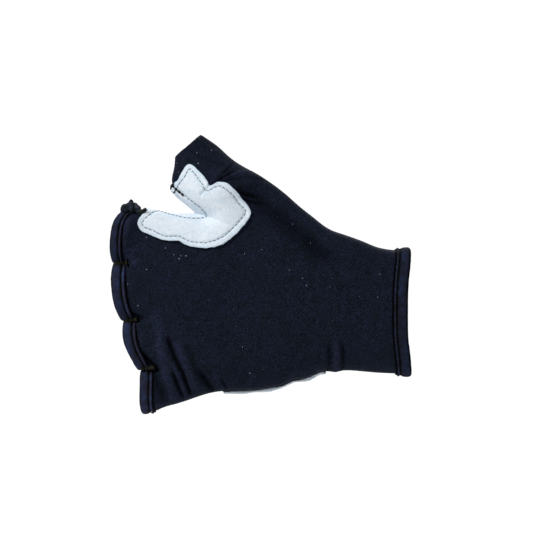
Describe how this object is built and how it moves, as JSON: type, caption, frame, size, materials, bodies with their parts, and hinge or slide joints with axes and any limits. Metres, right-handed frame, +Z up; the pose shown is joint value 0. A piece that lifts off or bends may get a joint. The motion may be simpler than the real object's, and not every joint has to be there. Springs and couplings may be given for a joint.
{
  "type": "impact glove",
  "caption": "Fingerless glove for a left hand in its worn form: dark stretch knit with bound wrist and finger edges, a white suede web patch and a padded suede palm.",
  "frame": {"origin": "centre of the wrist opening, where the hand and forearm go in", "axes": "+X leaves the wrist opening along the forearm, +Z is up towards the thumb, -Y is the back of the hand"},
  "size_m": [0.1343, 0.0432, 0.1243],
  "materials": {
    "knit": "matt stretch knit, near black with a little blue",
    "binding": "matt folded tape, very dark navy",
    "suede": "soft suede, white with a little blue"
  },
  "bodies": {
    "root": {"knit_shell": "knit", "thumb_sleeve": "knit", "wrist_binding": "binding", "index_binding": "binding", "middle_binding": "binding", "ring_binding": "binding", "little_binding": "binding", "web_patch": "suede", "palm_patch": "suede", "binding_tail": "binding"}
  },
  "joints": []
}
